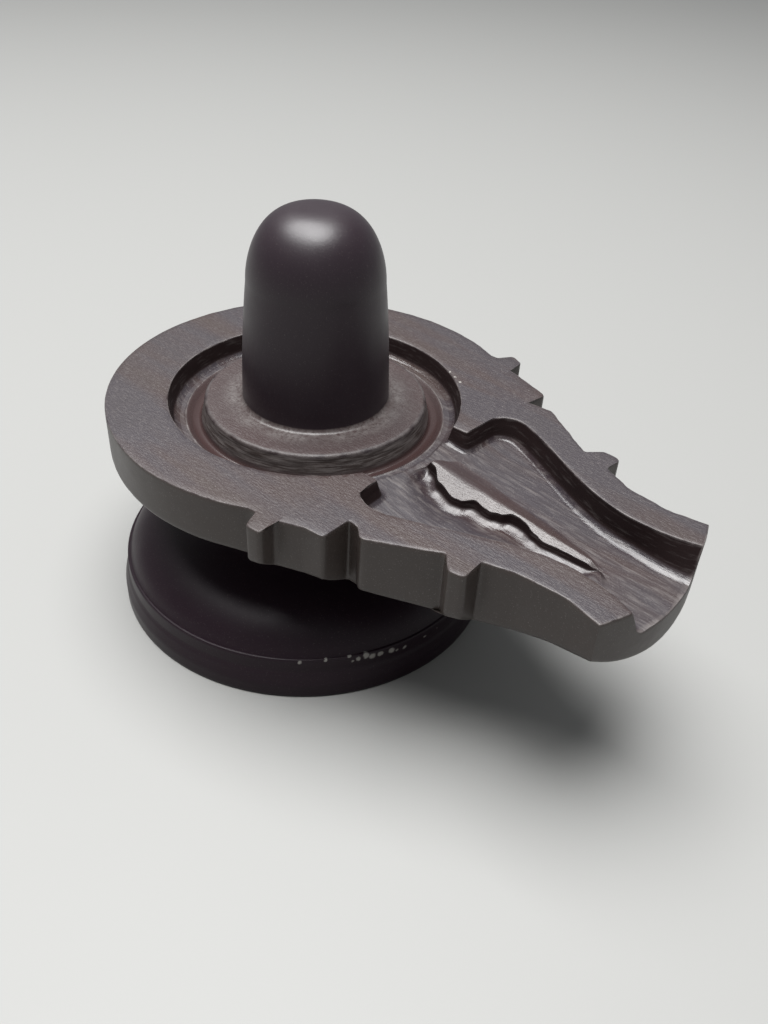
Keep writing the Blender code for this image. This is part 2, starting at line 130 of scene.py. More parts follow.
# Channel and its tapering ridge
MOUTH_X = 0.0310
POCKET_NAMES = ("cusp_x", "widest_x", "mouth", "cusp", "shoulder", "widest")
POCKETS = {
    1: dict(zip(POCKET_NAMES, (0.0382, 0.0443, 0.0114, 0.0118, 0.0192, 0.0250))),
    -1: dict(zip(POCKET_NAMES, (0.0366, 0.0430, 0.0174, 0.0170, 0.0215, 0.0252))),
}
CUSP_ROUND = 0.0006
POCKET_LEAN = 0.0002
SHOULDER_ROUND = 0.0015
JOIN_X = 0.0443
WAIST_X = 0.0830
WAIST_HALF = 0.0112
CHANNEL_END_HALF = 0.0146
BULGE_DRAFT = 0.0012
WAIST_DRAFT = 0.0004
END_DRAFT = 0.0027
SILL_DEPTH = 0.0040
BED_DEPTH = 0.0060
END_DEPTH = 0.0076
BED_X = 0.0500
CHANNEL_FILLET = 0.0011
COVE_GROWTH = 1.3
RIDGE_EDGES = {
    1: ((0.0365, 0.0), (0.0405, 0.0072), (0.0470, 0.0070), (0.0577, 0.0053), (0.0653, 0.0040),
        (0.0770, 0.0019), (0.0835, 0.0)),
    -1: ((0.0365, 0.0), (0.0392, 0.0009), (0.0434, 0.0037), (0.0484, 0.0050), (0.0500, 0.0047),
         (0.0528, 0.0027), (0.0557, 0.0031), (0.0570, 0.0031), (0.0591, 0.0023), (0.0616, 0.0007),
         (0.0632, 0.0006), (0.0646, 0.0008), (0.0681, 0.0019), (0.0705, 0.0024), (0.0744, 0.0018),
         (0.0770, 0.0015), (0.0814, 0.0011), (0.0835, 0.0)),
}
RIDGE_SLOPES = {1: 0.46, -1: 0.31}
RIDGE_LEANS = {1: 0.0009, -1: 0.0004}
GULLY_WIDTH = 0.0026
GULLY_FIRST = 0.00035
GULLY_DEPTH = 0.00125
GULLY_RUN = 0.0060
RIDGE_CREST_DEPTH = 0.0021
RIDGE_TIP_DEPTH = 0.0059
RIDGE_START_RISE = 0.0018
RIDGE_TIP_FALL = 0.0030
RIDGE_FIRST_X = 0.0350
RIDGE_FIRST_RUN = 0.0020
RIDGE_LAST_X = 0.0875
RIDGE_LAST_RUN = 0.0040
RIDGE_LEAST_HALF = 0.0003

# Waist and foot
FOOT_AXIS = (-0.0003, -0.0026)
FOOT_RADIUS = 0.0487
FOOT_TOE = 0.0003
RIM_HEIGHT = 0.0072
RIM_TOP_RADIUS = 0.0476
STEP_HEIGHT = 0.0118
STEP_RADIUS = 0.0474
STEP_WIDTH = 0.0006
BELL_RADIUS = 0.0464
NECK_RADIUS = 0.0262
NECK_FILLET = ((0.0251, 0.0318), (0.0243, 0.0310), (0.0239, 0.0303))
WAIST_RADIUS = 0.0238
WAIST_HEIGHT = 0.0300
WAIST_FALL = 0.0090
BELL_SHOULDER_IN = 0.0040
BELL_SHOULDER_RISE = 0.0110

# Mesh densities
DISC_GAP = 0.0045
SPOUT_GAP = 0.0032
CORNER_SHARE = 0.25
FOOT_COLUMNS = 200
EDGE_SOFT = 0.00010
EDGE_ROW = 0.00035
LOWER_SOFT = 0.0009

# Pale residue on the foot's rim and small nicks, as places in metres and radii
SPOTS = (
    (0.0326, -0.0365, 0.0105, 0.0006), (0.0366, -0.0320, 0.0109, 0.0005), (0.0398, -0.0275, 0.0113, 0.0006),
    (0.0402, -0.0269, 0.0096, 0.0005), (0.0409, -0.0256, 0.0100, 0.0008), (0.0418, -0.0239, 0.0104, 0.0010),
    (0.0425, -0.0225, 0.0098, 0.0010), (0.0433, -0.0206, 0.0098, 0.0009), (0.0444, -0.0178, 0.0096, 0.0010),
    (0.0448, -0.0165, 0.0091, 0.0006), (0.0454, -0.0143, 0.0090, 0.0007), (0.0466, -0.0082, 0.0092, 0.0005),
    (0.0469, -0.0040, 0.0092, 0.0004), (0.0155, -0.0045, 0.0990, 0.0003), (0.0173, 0.0311, 0.0551, 0.0004),
    (0.0223, 0.0289, 0.0551, 0.0005), (0.0198, 0.0300, 0.0551, 0.0004),
)

# Lights of the studio
CEILING_SIZE = (1.25, 1.00)
CEILING_PLACE = (-0.18, -0.05, 1.10)
LAMP_SIZE = (0.40, 0.40)
LAMP_PLACE = (0.08, -0.10, 1.00)


def ease(value):
    """Smooth step from 0 to 1: three times the square less twice the cube."""
    value = np.clip(value, 0.0, 1.0)
    return value * value * (3.0 - 2.0 * value)


def rounded(corners, steps):
    """Polyline through corners (x, y, radius), each corner a parabola between its tangent points."""
    points = [np.array(corners[0][:2])]
    for before, corner, after in zip(corners, corners[1:], corners[2:]):
        centre = np.array(corner[:2])
        back, ahead = np.array(before[:2]) - centre, np.array(after[:2]) - centre
        lengths = np.linalg.norm(back), np.linalg.norm(ahead)
        half = 0.5 * math.acos(np.clip(back @ ahead / (lengths[0] * lengths[1]), -1.0, 1.0))
        reach = min(corner[2] / math.tan(half), CORNER_REACH * min(lengths))
        start, end = centre + back / lengths[0] * reach, centre + ahead / lengths[1] * reach
        share = np.linspace(0.0, 1.0, steps + 1)[:, None]
        points.extend(start * (1 - share) ** 2 + 2 * centre * share * (1 - share) + end * share ** 2)
    points.append(np.array(corners[-1][:2]))
    return np.array(points)


def half_outline(teeth):
    """Outline of one half of the plate, y up: the disc's arc, the carved teeth and the spout's flank."""
    first = math.atan2(teeth[0][1], teeth[0][0])
    angle = np.linspace(math.pi, first, 60)[:-1]
    disc = PLATE_RADIUS * np.column_stack([np.cos(angle), np.sin(angle)])
    corner = (SPOUT_REACH - END_BULGE, END_HALF, 0.0)
    carved = rounded([(*disc[-1], 0.0), *teeth, *SPOUT_FLANK, corner], CORNER_STEPS)
    return np.vstack([disc, carved[1:]])


def end_x(y):
    """Where the spout's bowed end face stands: its reach less the bulge times its half's squared share."""
    return SPOUT_REACH - END_BULGE * (y / END_HALF) ** 2


def channel_half(x, side):
    """Half width of the channel at the plate's top: line, quarter ellipse, hollow flank and flare."""
    pocket = POCKETS[side]
    cusp_x, widest_x, widest = pocket["cusp_x"], pocket["widest_x"], pocket["widest"]
    share = np.clip((x - MOUTH_X) / (cusp_x - MOUTH_X), 0, 1)
    mouth = pocket["mouth"] + (pocket["cusp"] - pocket["mouth"]) * share
    lean = np.clip((widest_x - x) / (widest_x - cusp_x), 0, 1)
    bulge = pocket["shoulder"] + (widest - pocket["shoulder"]) * np.sqrt(1 - lean ** 2)
    along = np.clip((x - widest_x) / (WAIST_X - widest_x), 0, 1)
    flank = WAIST_HALF + (widest - WAIST_HALF) * (1 - along ** 1.4) ** 1.9
    flare = np.clip((x - WAIST_X) / (SPOUT_REACH - WAIST_X), 0, 1)
    end = WAIST_HALF + (CHANNEL_END_HALF - WAIST_HALF) * flare ** 2.3
    return np.select([x < cusp_x, x < widest_x, x < WAIST_X], [mouth, bulge, flank], end)


def channel_draft(x):
    """How far the channel's wall leans in, eased from its widest to its waist to its end."""
    first = BULGE_DRAFT + (WAIST_DRAFT - BULGE_DRAFT) * ease((x - JOIN_X) / (WAIST_X - JOIN_X))
    return first + (END_DRAFT - WAIST_DRAFT) * ease((x - WAIST_X) / (SPOUT_REACH - WAIST_X))


def ridge_half(x, side):
    """Half width of the ridge to its edge on one side, eased between its swells and waists."""
    width = np.zeros_like(x)
    edge = RIDGE_EDGES[side]
    for (start, first), (end, second) in zip(edge, edge[1:]):
        inside = (x >= start) & (x <= end)
        width = np.where(inside, first + (second - first) * ease((x - start) / (end - start)), width)
    return width


def ridge_depth(x, out, side, bed):
    """Depth of the ridge out from its crest: slope to its edge, then wall and cove to the bed."""
    start, tip = RIDGE_EDGES[side][0][0], RIDGE_EDGES[side][-1][0]
    along = np.clip((x - start) / (tip - start), 0, 1)
    crest = RIDGE_CREST_DEPTH + (RIDGE_TIP_DEPTH - RIDGE_CREST_DEPTH) * along
    rise = ease((x - start) / RIDGE_START_RISE) * ease((tip - x) / RIDGE_TIP_FALL)
    half = ridge_half(x, side)
    top = np.minimum(crest + RIDGE_SLOPES[side] * np.minimum(out, half), bed)
    past = out - half
    beside = past - RIDGE_LEANS[side]
    fall = (GULLY_DEPTH - GULLY_FIRST) * (1 - (1 - np.clip(beside / GULLY_WIDTH, 0, 1)) ** 2)
    gully = (GULLY_FIRST + fall) * (1 - ease((beside - GULLY_WIDTH) / GULLY_RUN)) * rise
    low = bed + (np.where(past > 0, gully, 0.0) if side < 0 else 0.0)
    drop = 1 - (1 - np.clip(past / RIDGE_LEANS[side], 0, 1)) ** 1.6
    return top + (low - top) * np.maximum(drop, 1 - rise)


def floor_depth(x, y, side):
    """Depth of pool and channel floors: the deeper of shelf and bed, with the ridge on it."""
    radius = np.hypot(x - LINGAM_AXIS[0], y - side * LINGAM_AXIS[1])
    fall = (SHELF_DEPTH * (1 - LIP_SHARE)) / POOL_FILLET
    shelf = SHELF_DEPTH - fall * np.clip(radius - SHELF_EDGE, 0.0, 1.0) * 1.6
    bed = SILL_DEPTH + (BED_DEPTH - SILL_DEPTH) * ease((x - MOUTH_X) / (BED_X - MOUTH_X))
    bed = bed + (END_DEPTH - BED_DEPTH) * np.clip((x - BED_X) / (SPOUT_REACH - BED_X), 0, 1)
    ridge = np.where(y < 0, ridge_depth(x, -y, -side, bed), ridge_depth(x, y, side, bed))
    return np.maximum(shelf, ridge)


def belly_depth(x, y):
    """Depth of the underside: a dished disc, eased into a spout with a bowed, tapering keel."""
    disc = DISC_EDGE_DEPTH + DISC_DISH * (1 - (x * x + y * y) / PLATE_RADIUS ** 2)
    share = np.clip((x - SPOUT_ROOT_X) / (SPOUT_WAIST_X - SPOUT_ROOT_X), 0, 1)
    half = SPOUT_WAIST_HALF + (SPOUT_ROOT_HALF - SPOUT_WAIST_HALF) * (1 - share) ** SPOUT_WAIST_POWER
    taper = np.clip((x - SPOUT_TAPER_START) / (SPOUT_REACH - SPOUT_TAPER_START), 0, 1)
    edge = SPOUT_EDGE_DEPTH + (SPOUT_END_DEPTH - SPOUT_EDGE_DEPTH) * taper ** SPOUT_TAPER_POWER
    along = np.clip((x - SPOUT_ROOT_X) / (SPOUT_REACH - SPOUT_ROOT_X), 0, 1)
    power = SPOUT_ROOT_POWER + (SPOUT_END_POWER - SPOUT_ROOT_POWER) * along
    spout = edge + SPOUT_EDGE_SLOPE * half / power * (1 - (np.abs(y) / half) ** power)
    blend = ease((x - BELLY_BLEND[0]) / (BELLY_BLEND[1] - BELLY_BLEND[0]))
    return disc + (np.maximum(spout, 0.004) - disc) * blend


def arc_lengths(points):
    """Distance along a polyline at each of its points."""
    steps = np.linalg.norm(np.diff(points, axis=0), axis=1)
    return np.concatenate([[0.0], np.cumsum(steps)])


def staged(points, stations, values):
    """Parameter at each point of a polyline, straight in arc length between its stations."""
    lengths = arc_lengths(points)
    return np.interp(lengths, lengths[stations], values)


def along(parameter, at, points):
    """Points of a polyline at a parameter."""
    return np.column_stack([np.interp(parameter, at, points[:, axis]) for axis in (0, 1)])


def first_past(points, x):
    """Index of the first point of a polyline, after its leftmost, that reaches x."""
    return int(np.argmax(points[:, 0] >= x))


def wall_top(side):
    """Top edge of pool and channel for one half, with the indices of its corners."""
    axis_y = side * LINGAM_AXIS[1]
    pocket = POCKETS[side]
    cusp_x, widest_x = pocket["cusp_x"], pocket["widest_x"]
    x = np.linspace(MOUTH_X, cusp_x, 400)
    outside = np.hypot(x - LINGAM_AXIS[0], channel_half(x - 1e-9, side) - axis_y) > POOL_RADIUS
    cross = x[np.argmax(outside)]
    corner = (cross, float(channel_half(np.array([cross]), side)[0]))
    last = math.atan2(corner[1] - axis_y, cross - LINGAM_AXIS[0])
    angle = np.linspace(math.pi, last, 120)
    pool = np.column_stack([LINGAM_AXIS[0] + POOL_RADIUS * np.cos(angle),
                            axis_y + POOL_RADIUS * np.sin(angle)])
    turn = np.linspace(0.0, 0.5 * math.pi, 25)[1:]
    bulge_x = widest_x - (widest_x - cusp_x) * np.cos(turn)
    widening = pocket["widest"] - pocket["shoulder"]
    bulge = np.column_stack([bulge_x, pocket["shoulder"] + widening * np.sin(turn)])
    shape = rounded([(*corner, 0.0), (cusp_x, pocket["cusp"], CUSP_ROUND),
                     (cusp_x + POCKET_LEAN, pocket["shoulder"], SHOULDER_ROUND), (*bulge[4], 0.0)], 8)
    mouth, wall = shape[1:6], shape[6:-1]
    meet = SPOUT_REACH
    for _ in range(20):
        meet = float(end_x(channel_half(np.array([meet]), side)[0]))
    flank_x = np.concatenate([np.linspace(widest_x, WAIST_X, 90)[1:], np.linspace(WAIST_X, meet, 30)[1:]])
    flank = np.column_stack([flank_x, channel_half(flank_x, side)])
    parts = [pool, mouth, wall, bulge[4:], flank]
    ends = np.cumsum([len(part) for part in parts]) - 1
    return np.vstack(parts), [0, *ends[:4], ends[3] + 89, ends[4]]


def inner_path(side):
    """Ring inside the pool's shelf, then the channel's middle line, with the indices of its stations."""
    axis_y = side * LINGAM_AXIS[1]
    angle = np.linspace(math.pi, 0.0, 181)
    ring = np.column_stack([LINGAM_AXIS[0] + RING_RADIUS * np.cos(angle),
                            axis_y + RING_RADIUS * np.sin(angle)])
    start = LINGAM_AXIS[0] + RING_RADIUS
    stops = (start, 0.0345, 0.0372, JOIN_X, WAIST_X, SPOUT_REACH)
    x = np.concatenate([np.linspace(first, second, 21)[1:] for first, second in zip(stops, stops[1:])])
    y = axis_y * (1 - ease((x - start) / 0.008))
    line = np.column_stack([x, y])
    return np.vstack([ring, line]), [0, 156, 180, 200, 220, 240, 260, 280]


STATIONS = (0.0, 0.40, 0.45, 0.47, 0.52, 0.86, 1.0)


def inner_stations():
    """Parameters of the inner path's stations: the ring ends half way between pool corner and cusp."""
    middle = 0.5 * (STATIONS[1] + STATIONS[2])
    return [STATIONS[0], STATIONS[1], middle, *STATIONS[2:]]


def outline_stations(points):
    """Indices on the outline that stand across from the wall's corners."""
    x_marks = (0.0300, 0.0370, 0.0392, JOIN_X, WAIST_X)
    return [0, *(first_past(points, x) for x in x_marks), len(points) - 1]


def columns(outlines):
    """Shared column parameters: every corner of both halves, filled in between to the wanted spacing."""
    fixed = np.array(inner_stations() + [STATIONS[2]])
    corners = np.unique(np.round(np.concatenate(outlines), 7))
    marks = (0.0, STATIONS[1], STATIONS[2], 1.0)
    gaps = (DISC_GAP, DISC_GAP, SPOUT_GAP, SPOUT_GAP)
    kept = []
    for value in corners:
        gap = CORNER_SHARE * np.interp(value, marks, gaps)
        if np.min(np.abs(fixed - value)) > gap and (not kept or value - kept[-1] > gap):
            kept.append(value)
    kept = np.unique(np.concatenate([fixed, kept]))
    spans = np.diff(kept)
    counts = np.maximum(1, np.round(spans / np.interp(kept[:-1] + 0.5 * spans, marks, gaps))).astype(int)
    filled = [np.linspace(a, b, n + 1)[:-1] for a, b, n in zip(kept, kept[1:], counts)]
    return np.concatenate([*filled, [1.0]])


def right_normals(points, closed=False, reach=0):
    """Unit normals to the right of a path's direction, averaged over a few neighbours."""
    if closed:
        tangent = np.roll(points, -1, axis=0) - np.roll(points, 1, axis=0)
    else:
        tangent = np.gradient(points, axis=0)
    tangent /= np.maximum(np.linalg.norm(tangent, axis=1), 1e-12)[:, None]
    normal = np.column_stack([tangent[:, 1], -tangent[:, 0]])
    if reach:
        kernel = np.ones(2 * reach + 1) / (2 * reach + 1)
        padded = np.pad(normal, ((reach, reach), (0, 0)), mode="edge")
        normal = np.column_stack([np.convolve(padded[:, axis], kernel, "valid") for axis in (0, 1)])
        normal /= np.linalg.norm(normal, axis=1)[:, None]
    return normal


RIDGE_SHARES = (0.0, 0.22, 0.45, 0.68, 0.88, 1.0)
WALL_SHARES = (1.0, 0.86, 0.72, 0.58, 0.45, 0.32, 0.2, 0.1)
FILLET_SHARES = (1.0, 0.8, 0.6, 0.4, 0.2)
BED_SHARES = (0.035, 0.07, 0.105, 0.14, 0.19, 0.25, 0.32, 0.42, 0.52, 0.62, 0.72, 0.82, 0.91)
COVE_SHARE = 0.22
RIM_ROWS = 10


def half_top(side, teeth, parameter):
    """Top of one half as rows of points from the middle to the outline, with each row's finish masks.

    A row's place is a share of the way between two feature curves at the same column: middle line,
    ridge edge, ridge foot, wall foot, wall top and outline. Its height is the floor's or wall's formula."""
    outline = half_outline(teeth)
    wall, wall_marks = wall_top(side)
    inner, inner_marks = inner_path(side)
    at_inner = along(parameter, staged(inner, inner_marks, inner_stations()), inner)
    at_wall = along(parameter, staged(wall, wall_marks, STATIONS), wall)
    at_outline = along(parameter, staged(outline, outline_stations(outline), STATIONS), outline)
    inward = right_normals(at_wall, reach=3)
    inward[0], inward[-1] = (1.0, 0.0), (0.0, -1.0)

    in_channel = ease((parameter - STATIONS[1]) / (STATIONS[2] - STATIONS[1]))
    draft = POOL_DRAFT + (channel_draft(at_wall[:, 0]) - POOL_DRAFT) * in_channel
    fillet = POOL_FILLET + (CHANNEL_FILLET - POOL_FILLET) * in_channel
    fillet = fillet * (1 + COVE_GROWTH * ease((at_wall[:, 0] - JOIN_X) / (SPOUT_REACH - JOIN_X)))
    foot = at_wall + inward * (draft + fillet)[:, None]
    ends = parameter > STATIONS[5]
    foot[ends, 0] = at_wall[ends, 0]
    foot[-1, 0] = end_x(foot[-1, 1])

    run = foot - at_inner
    ridge_x = at_inner[:, 0] + 0.2 * run[:, 0]
    present = ease((ridge_x - RIDGE_FIRST_X) / RIDGE_FIRST_RUN)
    present = present * ease((RIDGE_LAST_X - ridge_x) / RIDGE_LAST_RUN)
    narrow = np.maximum(ridge_half(ridge_x, side), RIDGE_LEAST_HALF)
    edge = at_inner + 0.25 * run
    edge[:, 1] += (narrow - edge[:, 1]) * present
    ridge_foot = at_inner + 0.45 * run
    ridge_foot[:, 1] += (edge[:, 1] + RIDGE_LEANS[side] - ridge_foot[:, 1]) * present
    edge[:, 0] += (ridge_x - edge[:, 0]) * present
    ridge_foot[:, 0] += (ridge_x - ridge_foot[:, 0]) * present

    rows, heights, masks = [], [], []

    def add(points, depth, **mask):
        rows.append(points)
        heights.append(TOP - depth)
        masks.append({name: np.broadcast_to(value, len(points)) for name, value in mask.items()})

    # The near ridge's rows carry the ridge mask, which glosses them and paints a speckled highlight on them
    steep = present if side < 0 else 0.0
    for share in RIDGE_SHARES:
        spot = at_inner + (edge - at_inner) * share
        add(spot, floor_depth(spot[:, 0], spot[:, 1], side), streak=1 - 0.8 * present, pool=1.0,
            ridge=steep, turned=0.6 * (present - steep))
    for share in (0.15, 0.3, 0.6, 0.85, 1.0):
        spot = edge + (ridge_foot - edge) * share
        add(spot, floor_depth(spot[:, 0], spot[:, 1], side), streak=1.0, pool=1.0 - steep, wall=steep)
    for share in BED_SHARES:
        spot = ridge_foot + (foot - ridge_foot) * share
        near = steep * (share < COVE_SHARE)
        add(spot, floor_depth(spot[:, 0], spot[:, 1], side), streak=1.0, pool=1.0, gloss=near)
    floor = floor_depth(foot[:, 0], foot[:, 1], side)
    for share in FILLET_SHARES:
        spot = at_wall + (foot - at_wall) * ((draft + fillet * share) / (draft + fillet))[:, None]
        depth = floor * (LIP_SHARE + (1 - LIP_SHARE) * (1 - (1 - share) ** 2))
        add(spot, depth, pool=1.0, gloss=1.0, streak=1.0)
    # Wall rows carry the wall mask: rougher and duller, and darkened with painted shade
    for share in WALL_SHARES:
        spot = at_wall + (foot - at_wall) * (draft * share / (draft + fillet))[:, None]
        add(spot, floor * LIP_SHARE * share, wall=1.0)
    add(at_wall, np.full(len(parameter), 0.00012), edge=1.0, matt=0.5)
    across = at_outline - at_wall
    width = np.linalg.norm(across, axis=1)
    first, last = EDGE_ROW / width, 1 - EDGE_ROW / width
    for step in range(RIM_ROWS + 1):
        share = (first + (last - first) * step / RIM_ROWS)[:, None]
        add(at_wall + across * share, np.zeros(len(parameter)), matt=1.0)
    add(at_outline, np.zeros(len(parameter)), edge=1.0, matt=0.5)

    points = np.array(rows)
    shape = points.shape[:2]
    grid = np.empty((*shape, 3))
    grid[..., :2] = points * (1, side)
    grid[..., 2] = np.array(heights)
    grid[:, -1, 0] = end_x(np.abs(grid[:, -1, 1]))
    return grid, masks


MASKS = ("matt", "edge", "pool", "wall", "gloss", "streak", "ridge", "turned", "polish", "chisel",
         "side", "foot", "halo")


def mask_grid(masks, shape):
    """Masks of one grid as an array of rows, columns and mask names."""
    block = np.zeros((*shape, len(MASKS)))
    for row, mask in enumerate(masks):
        for name, value in mask.items():
            block[row, :, MASKS.index(name)] = value
    return block


def grid_faces(rows, count, closed):
    """Quads of a grid of rows and columns, wrapped round where it is closed."""
    column = np.arange(count if closed else count - 1)
    ahead = (column + 1) % count
    row = np.arange(rows - 1)[:, None] * count
    quads = np.stack([row + column, row + ahead, row + count + ahead, row + count + column], axis=-1)
    return quads.reshape(-1, 4)


def smooth_profile(points, spacing):
    """Polyline filled in with points at about the given spacing, straight between its corners."""
    points = np.array(points)
    counts = np.maximum(1, np.ceil(np.linalg.norm(np.diff(points, axis=0), axis=1) / spacing)).astype(int)
    parts = [a + (b - a) * np.linspace(0, 1, n + 1)[:-1, None]
             for a, b, n in zip(points, points[1:], counts)]
    return np.vstack([*parts, points[-1:]])


def lingam_profile():
    """Radius, height and masks from the dome's top to the ring in the pool.

    The dome is a superellipse, the shaft tapers by a power, then come fillet, disc, wall and groove."""
    angle = np.linspace(0.5 * math.pi, 0.0, 34)
    radius = LINGAM_SHOULDER_RADIUS * np.maximum(np.cos(angle), 0.0) ** (2 / DOME_PLAN_POWER)
    radius[0] = 0.0
    rise = (LINGAM_HEIGHT - LINGAM_SHOULDER_HEIGHT) * np.sin(angle) ** (2 / DOME_RISE_POWER)
    dome = np.column_stack([radius, LINGAM_SHOULDER_HEIGHT + rise])
    low = FILLET_RADIUS - DISC_DROP
    share = np.linspace(1, 0, 26)[1:]
    slim = (LINGAM_FOOT_RADIUS - LINGAM_SHOULDER_RADIUS) * share ** LINGAM_TAPER_POWER
    shaft = np.column_stack([LINGAM_FOOT_RADIUS - slim, low + (LINGAM_SHOULDER_HEIGHT - low) * share])
    turn = np.linspace(0, 0.5 * math.pi, 7)[1:]
    fillet = np.column_stack([
        LINGAM_FOOT_RADIUS + FILLET_RADIUS * (1 - np.cos(turn)),
        -DISC_DROP + FILLET_RADIUS * (1 - np.sin(turn))])
    disc = smooth_profile([fillet[-1], (DISC_RADIUS - LIP_WIDTH, -DISC_DROP)], 0.0011)[1:]
    turn = np.linspace(0, 0.5 * math.pi, 5)[1:]
    lip = np.column_stack([DISC_RADIUS - LIP_WIDTH * (1 - np.sin(turn)),
                           -DISC_DROP - LIP_FALL * (1 - np.cos(turn))])
    wall_foot = (DISC_RADIUS + DISC_WALL_DRAFT, -DISC_WALL_DEPTH)
    wall = smooth_profile([lip[-1], wall_foot], 0.0005)[1:]
    cove = rounded([(*wall_foot, 0.0), (DISC_RADIUS + COVE_CORNER, -GROOVE_DEPTH, COVE_ROUND),
                    (DISC_RADIUS + COVE_REACH, -GROOVE_DEPTH + COVE_RISE, 0.0)], 6)[1:]
    slope = smooth_profile([cove[-1], (CREST_RADIUS - CREST_INSET, -CREST_DEPTH - CREST_STEP)], 0.0006)[1:]
    crest = np.array([(CREST_RADIUS, -CREST_DEPTH), (RING_RADIUS, -SHELF_DEPTH)])
    parts = [dome, shaft, fillet, disc, lip, wall, cove, slope, crest]
    finishes = [{"polish": 1.0}, {"polish": 1.0},
                {"gloss": 0.2, "turned": 1.0, "halo": 1.0}, {"matt": 1.0, "turned": 1.0},
                {"edge": 0.5, "matt": 0.6, "wall": 0.3}, {"chisel": 1.0, "wall": 0.15},
                {"gloss": 1.0, "turned": 1.0}, {"turned": 1.0, "pool": 0.5}, {"edge": 1.0, "pool": 1.0}]
    profile = np.vstack(parts)
    masks = [dict(finish) for part, finish in zip(parts, finishes) for _ in part]
    for finish, across in zip(masks, profile[:, 0]):
        if "matt" in finish:
            finish["halo"] = ease((fillet[-1, 0] + HALO_WIDTH - across) / HALO_WIDTH)
    return profile, masks


def turned_grid(profile, axis, angles, base):
    """Profile of radius and height carried round an upright axis."""
    grid = np.empty((len(profile), len(angles), 3))
    grid[..., 0] = axis[0] + profile[:, :1] * np.cos(angles)
    grid[..., 1] = axis[1] + profile[:, :1] * np.sin(angles)
    grid[..., 2] = base + profile[:, 1:]
    return grid


def bezier(points, share):
    """Cubic curve of four control points."""
    share = share[:, None]
    first, second, third, fourth = (np.array(point) for point in points)
    return (first * (1 - share) ** 3 + 3 * second * share * (1 - share) ** 2
            + 3 * third * share ** 2 * (1 - share) + fourth * share ** 3)


def foot_profile():
    """Waist, bell, step, rim and underside of the foot, as radius, height and masks."""
    bell = bezier(((WAIST_RADIUS, WAIST_HEIGHT), (WAIST_RADIUS, WAIST_HEIGHT - WAIST_FALL),
                   (BELL_RADIUS - BELL_SHOULDER_IN, STEP_HEIGHT + BELL_SHOULDER_RISE),
                   (BELL_RADIUS, STEP_HEIGHT)), np.linspace(0, 1, 34))
    rim = smooth_profile([(STEP_RADIUS - STEP_WIDTH, STEP_HEIGHT - STEP_WIDTH),
                          (STEP_RADIUS - 0.0002, STEP_HEIGHT - STEP_WIDTH),
                          (STEP_RADIUS, STEP_HEIGHT - STEP_WIDTH - 0.0002), (RIM_TOP_RADIUS, RIM_HEIGHT),
                          (RIM_TOP_RADIUS + 0.0003, RIM_HEIGHT - 0.0005),
                          (FOOT_RADIUS, 0.5 * RIM_HEIGHT), (FOOT_RADIUS, FOOT_TOE),
                          (FOOT_RADIUS - FOOT_TOE, 0.0)], 0.0008)
    under = smooth_profile([rim[-1], (0.0, 0.0)], 0.0060)[1:]
    parts = [np.array(NECK_FILLET), bell, rim, under]
    finishes = [{"polish": 0.5, "foot": 0.5}, {"polish": 1.0, "foot": 1.0}, {"polish": 1.0, "foot": 1.0},
                {"matt": 1.0, "foot": 1.0}]
    masks = [finish for part, finish in zip(parts, finishes) for _ in part]
    return np.vstack(parts), masks


def ring_of(far, near):
    """Boundary of the two top halves as one closed ring, clockwise from the disc's back."""
    return np.concatenate([far[-1], far[-2::-1, -1], near[1:, -1], near[-1, -2:0:-1]])


def soften_ring(grid, ring, normals, start, reverse):
    """Moves a half's boundary in and down by the edge softness, along the ring's normals."""
    rows, count = grid.shape[:2]
    index = np.arange(count) if not reverse else (len(ring) - np.arange(count)) % len(ring)
    end = start + np.arange(rows)
    grid[-1, :, :2] += normals[index] * EDGE_SOFT
    grid[-1, :, 2] -= EDGE_SOFT
    step = end if reverse else end[::-1]
    grid[:-1, -1, :2] += normals[step[:-1] % len(ring)] * EDGE_SOFT
    grid[:-1, -1, 2] -= EDGE_SOFT


def side_and_belly(ring, normals):
    """Side wall down from the ring, softened below, then the underside in to the neck, and their masks."""
    x, y, top = ring.T
    bottom = TOP - belly_depth(x, y)
    rows, masks = [], []
    shares = np.linspace(0, 1, 15)
    for share in shares:
        height = (top - EDGE_ROW) + (bottom + LOWER_SOFT - top + EDGE_ROW) * share
        rows.append(np.column_stack([x, y, height]))
        masks.append({"side": 1.0})
    for slip, rise in ((0.08, 0.5), (0.35, 0.14), (1.0, 0.0)):
        spot = ring[:, :2] + normals * LOWER_SOFT * slip
        depth = belly_depth(spot[:, 0], spot[:, 1])
        rows.append(np.column_stack([spot, TOP - depth + LOWER_SOFT * rise]))
        masks.append({"side": 1.0})
    start = rows[-1][:, :2]
    angle = np.unwrap(np.arctan2(y - FOOT_AXIS[1], x - FOOT_AXIS[0]))
    angle = np.minimum.accumulate(angle)
    tail = np.concatenate([angle[-9:] + 2 * math.pi, angle, angle[:9] - 2 * math.pi])
    angle = np.convolve(tail, np.ones(19) / 19, "valid")
    neck = np.array(FOOT_AXIS) + NECK_RADIUS * np.column_stack([np.cos(angle), np.sin(angle)])
    for share in np.linspace(0, 1, 12)[1:]:
        spot = start + (neck - start) * share
        rows.append(np.column_stack([spot, TOP - belly_depth(spot[:, 0], spot[:, 1])]))
        masks.append({"side": 1.0, "matt": 0.3})
    return np.array(rows), masks, angle


